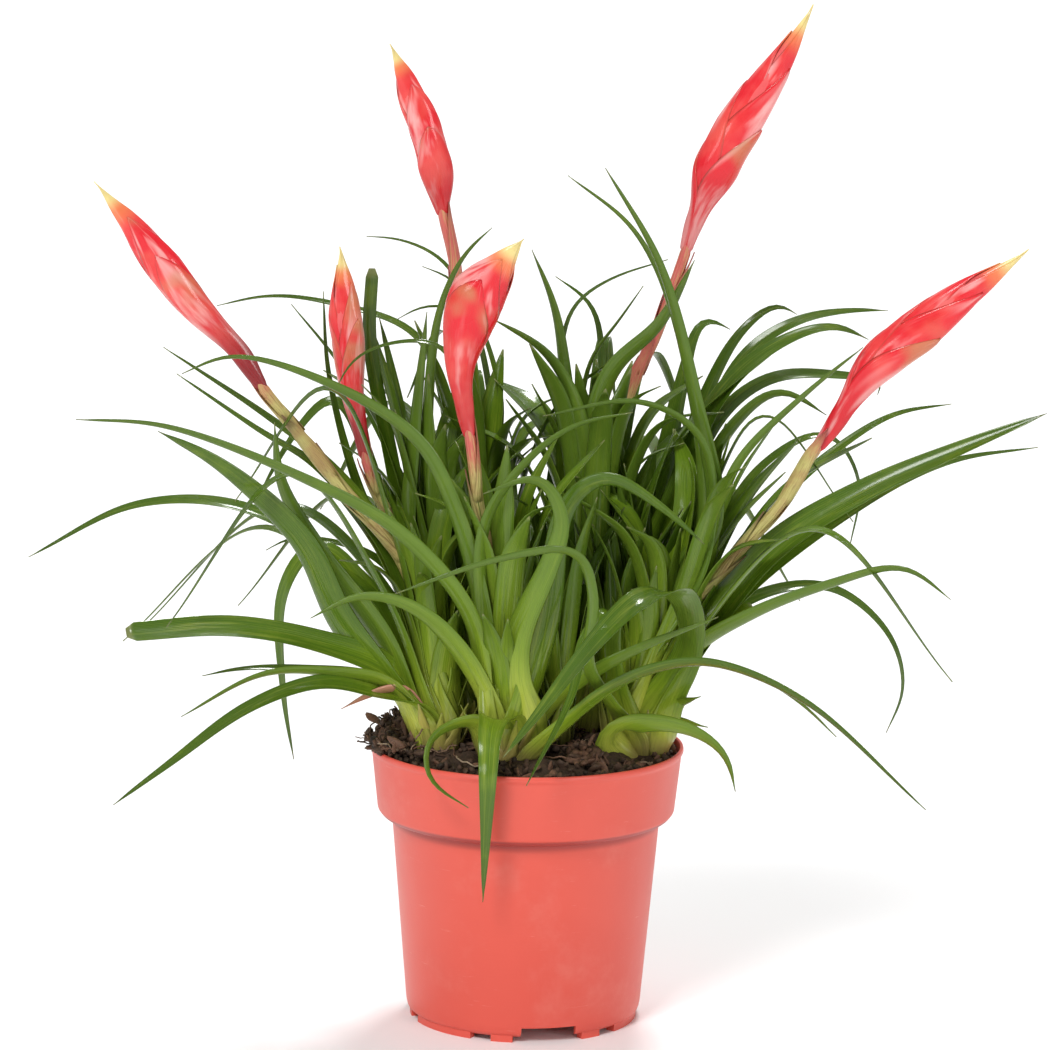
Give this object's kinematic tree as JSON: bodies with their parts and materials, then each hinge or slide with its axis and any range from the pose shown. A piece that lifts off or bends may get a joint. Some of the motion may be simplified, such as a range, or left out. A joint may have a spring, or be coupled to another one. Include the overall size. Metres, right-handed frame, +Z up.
{
  "type": "potted vriesea",
  "caption": "Bromeliad clump of arching strap leaves with red sword-shaped flower heads on slim stalks, rooted in soil in a tapered round plastic nursery pot.",
  "frame": {"origin": "middle of the pot's foot, on the surface that the pot stands on", "axes": "+Z up along the pot's axis, +X to the right in the picture, +Y away from the viewer"},
  "size_m": [0.3854, 0.2931, 0.3878],
  "materials": {
    "pot": "satin moulded plastic, coral terracotta",
    "soil": "rough moist peat with bark and fibres",
    "leaf": "glossy green strap leaves",
    "stalk": "pale yellow-green stalks with pointed bracts",
    "bract": "glossy red bracts with yellow tips"
  },
  "bodies": {
    "root": {"pot": "pot", "soil": "soil", "leaves_left": "leaf", "stalk_left": "stalk", "head_left": "bract", "leaves_middle": "leaf", "stalk_middle": "stalk", "head_middle": "bract", "leaves_front": "leaf", "stalk_front": "stalk", "head_front": "bract", "leaves_back": "leaf", "stalk_back": "stalk", "head_back": "bract", "leaves_rear": "leaf", "stalk_rear": "stalk", "head_rear": "bract", "leaves_right": "leaf", "stalk_right": "stalk", "head_right": "bract"}
  },
  "joints": []
}
